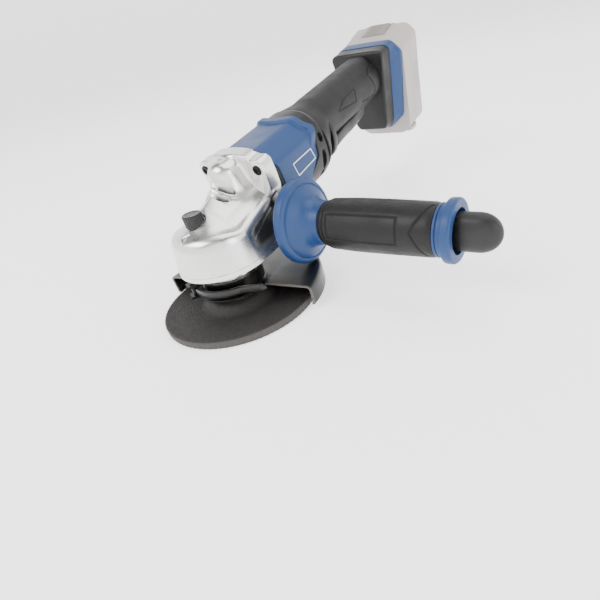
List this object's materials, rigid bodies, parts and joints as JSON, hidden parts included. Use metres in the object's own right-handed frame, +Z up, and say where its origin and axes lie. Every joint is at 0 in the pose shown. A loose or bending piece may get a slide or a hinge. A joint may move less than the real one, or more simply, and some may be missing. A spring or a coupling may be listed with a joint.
{
  "type": "cordless angle grinder",
  "caption": "Cordless angle grinder with depressed-centre disc, adjustable guard, side handle that stores its spanner, paddle switch and slide-off battery pack.",
  "frame": {"origin": "free lower end of the spindle, on the spindle axis", "axes": "+Z up along the spindle, +X out along the side handle, +Y back towards the battery"},
  "size_m": [0.272, 0.3864, 0.149],
  "materials": {
    "cast_metal": "bright die-cast",
    "blue_plastic": "moulded",
    "black_plastic": "moulded",
    "soft_grip": "overmoulded",
    "pale_plastic": "moulded",
    "pale_grey": "moulded",
    "black_steel": "black coated sheet",
    "steel": "turned",
    "dark_steel": "blackened",
    "abrasive": "resin bonded grain",
    "copper": "enamelled wire",
    "bronze": "sintered",
    "ferrite": "sintered",
    "carbon": "pressed carbon",
    "board": "circuit board",
    "cell_wrap": "shrink sleeve"
  },
  "bodies": {
    "root": {"bearing_plate": "cast_metal", "plate_screws": "steel", "gear_head": "cast_metal", "head_screws": "dark_steel", "spindle_bearing": "steel", "bearing_retainer": "steel", "spindle_bush": "bronze", "lock_spring": "steel", "front_bearing": "steel", "rear_bearing": "steel", "motor_can": "steel", "motor_magnets": "ferrite", "fan_baffle": "black_plastic", "brush_holders": "bronze", "carbon_brushes": "carbon", "housing_seal": "black_plastic", "motor_housing": "blue_plastic", "vent_cowl": "black_plastic", "grip_shell": "soft_grip", "paddle_pin": "steel", "switch_module": "black_plastic", "control_board": "board", "paddle_spring": "steel", "battery_foot": "black_plastic", "terminal_block": "black_plastic", "foot_bezel": "blue_plastic", "contact_blades": "bronze", "housing_screws": "dark_steel"},
    "spindle": {"spindle": "steel", "bevel_gear": "steel", "inner_flange": "steel", "grinding_disc": "abrasive", "lock_nut": "steel"},
    "rotor": {"rotor_shaft": "steel", "bevel_pinion": "steel", "armature": "ferrite", "armature_winding": "copper", "commutator": "copper", "cooling_fan": "black_plastic"},
    "lock": {"lock_button": "black_plastic", "lock_pin": "steel"},
    "guard": {"guard": "black_steel", "guard_band": "black_steel", "guard_clamp_screw": "steel", "guard_lever_pin": "steel"},
    "guard_lever": {"guard_lever": "black_steel"},
    "side_handle": {"handle_stud": "steel", "handle_flange": "blue_plastic", "handle_core": "black_plastic", "handle_grip": "soft_grip", "handle_end_ring": "blue_plastic"},
    "wrench": {"wrench_grip": "soft_grip", "wrench_blade": "steel"},
    "paddle": {"paddle_switch": "black_plastic"},
    "lock_off": {"lock_off_tab": "black_plastic"},
    "battery": {"battery_case": "pale_plastic", "battery_cells": "cell_wrap", "battery_terminals": "bronze"},
    "battery_latch": {"battery_latch": "pale_grey"}
  },
  "joints": [
    {"name": "spindle_spin", "type": "hinge", "parent": "root", "child": "spindle", "pos_m": [0, 0, 0], "axis": [0, 0, 1], "continuous": true},
    {"name": "rotor_spin", "type": "hinge", "parent": "root", "child": "rotor", "pos_m": [0, 0, 0.0675], "axis": [0, 0.989, 0.1478], "continuous": true},
    {"name": "lock_press", "type": "slide", "parent": "root", "child": "lock", "axis": [0, 0, -1], "range_m": [0, 0.0035], "stiffness_N_per_m": 900, "springref_m": -0.003, "deforming": ["lock_spring"]},
    {"name": "guard_turn", "type": "hinge", "parent": "root", "child": "guard", "pos_m": [0, 0, 0.02], "axis": [0, 0, 1], "range_deg": [-75, 75]},
    {"name": "guard_lever_open", "type": "hinge", "parent": "guard", "child": "guard_lever", "pos_m": [-0.01643, -0.02629, 0.0245], "axis": [0, 0, -1], "range_deg": [0, 60]},
    {"name": "handle_unscrew", "type": "slide", "parent": "root", "child": "side_handle", "axis": [1, 0, 0], "range_m": [0, 0.03]},
    {"name": "wrench_draw", "type": "slide", "parent": "side_handle", "child": "wrench", "axis": [1, 0, 0], "range_m": [0, 0.1]},
    {"name": "paddle_squeeze", "type": "hinge", "parent": "root", "child": "paddle", "pos_m": [0, 0.21286, 0.0978], "axis": [-1, 0, 0], "range_deg": [0, 4], "stiffness_Nm_per_rad": 1.2, "springref_deg": -8.59, "deforming": ["paddle_spring"]},
    {"name": "lock_off_push", "type": "hinge", "parent": "paddle", "child": "lock_off", "pos_m": [0, 0.15833, 0.07701], "axis": [1, 0, 0], "range_deg": [0, 18], "stiffness_Nm_per_rad": 0.03, "springref_deg": -17.19},
    {"name": "battery_slide", "type": "slide", "parent": "root", "child": "battery", "axis": [0, -0.1478, 0.989], "range_m": [0, 0.085]},
    {"name": "latch_press", "type": "slide", "parent": "battery", "child": "battery_latch", "axis": [0, 0.1478, -0.989], "range_m": [0, 0.0025], "stiffness_N_per_m": 800, "springref_m": -0.003}
  ],
  "couplings": [
    {"joint": "rotor_spin", "follows": "spindle_spin", "ratio": 3}
  ]
}
